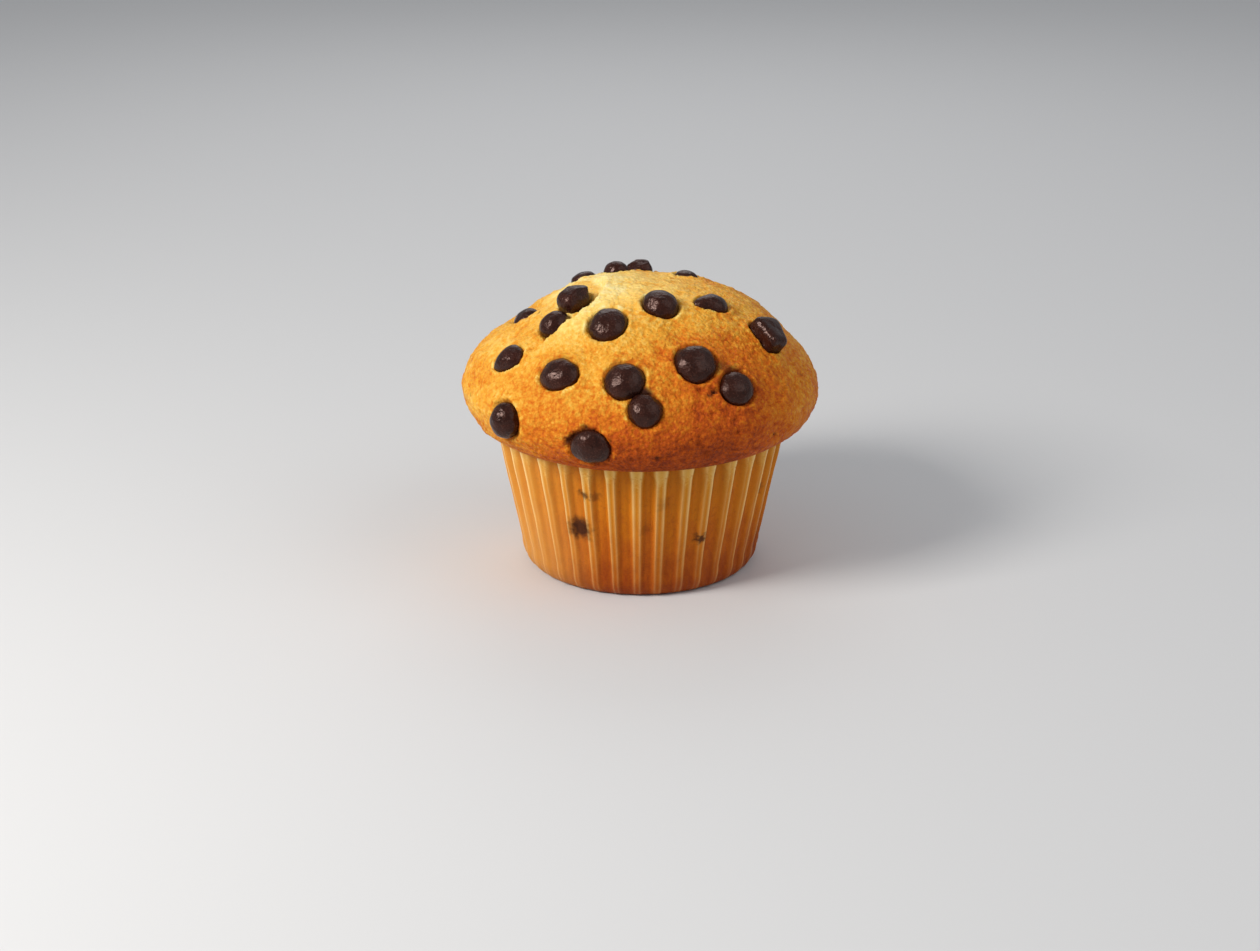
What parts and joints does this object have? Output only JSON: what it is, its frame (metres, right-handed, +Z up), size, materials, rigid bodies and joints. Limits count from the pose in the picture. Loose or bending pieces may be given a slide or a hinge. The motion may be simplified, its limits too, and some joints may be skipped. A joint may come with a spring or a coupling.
{
  "type": "chocolate chip muffin",
  "caption": "Domed baked muffin with an overhanging golden cap studded with chocolate chips, standing in its pleated greaseproof paper case.",
  "frame": {"origin": "centre of the paper case's flat underside, where the muffin stands", "axes": "+Z up through the top of the cap; -Y towards the front, the side with the chip low on the cap's lip; +X to the right seen from the front"},
  "size_m": [0.0726, 0.075, 0.0609],
  "materials": {
    "crumb": "matte",
    "paper": "satin",
    "chocolate": "satin"
  },
  "bodies": {
    "root": {"muffin_crumb": "crumb", "paper_case": "paper", "chip_01": "chocolate", "chip_02": "chocolate", "chip_03": "chocolate", "chip_04": "chocolate", "chip_05": "chocolate", "chip_06": "chocolate", "chip_07": "chocolate", "chip_08": "chocolate", "chip_09": "chocolate", "chip_10": "chocolate", "chip_11": "chocolate", "chip_12": "chocolate", "chip_13": "chocolate", "chip_14": "chocolate", "chip_15": "chocolate", "chip_16": "chocolate", "chip_17": "chocolate", "chip_18": "chocolate", "chip_19": "chocolate", "chip_20": "chocolate", "chip_21": "chocolate", "chip_22": "chocolate", "chip_23": "chocolate", "chip_24": "chocolate", "chip_25": "chocolate", "chip_26": "chocolate", "chip_27": "chocolate", "chip_28": "chocolate", "chip_29": "chocolate", "chip_30": "chocolate", "chip_31": "chocolate", "chip_32": "chocolate", "chip_33": "chocolate", "chip_34": "chocolate"}
  },
  "joints": []
}
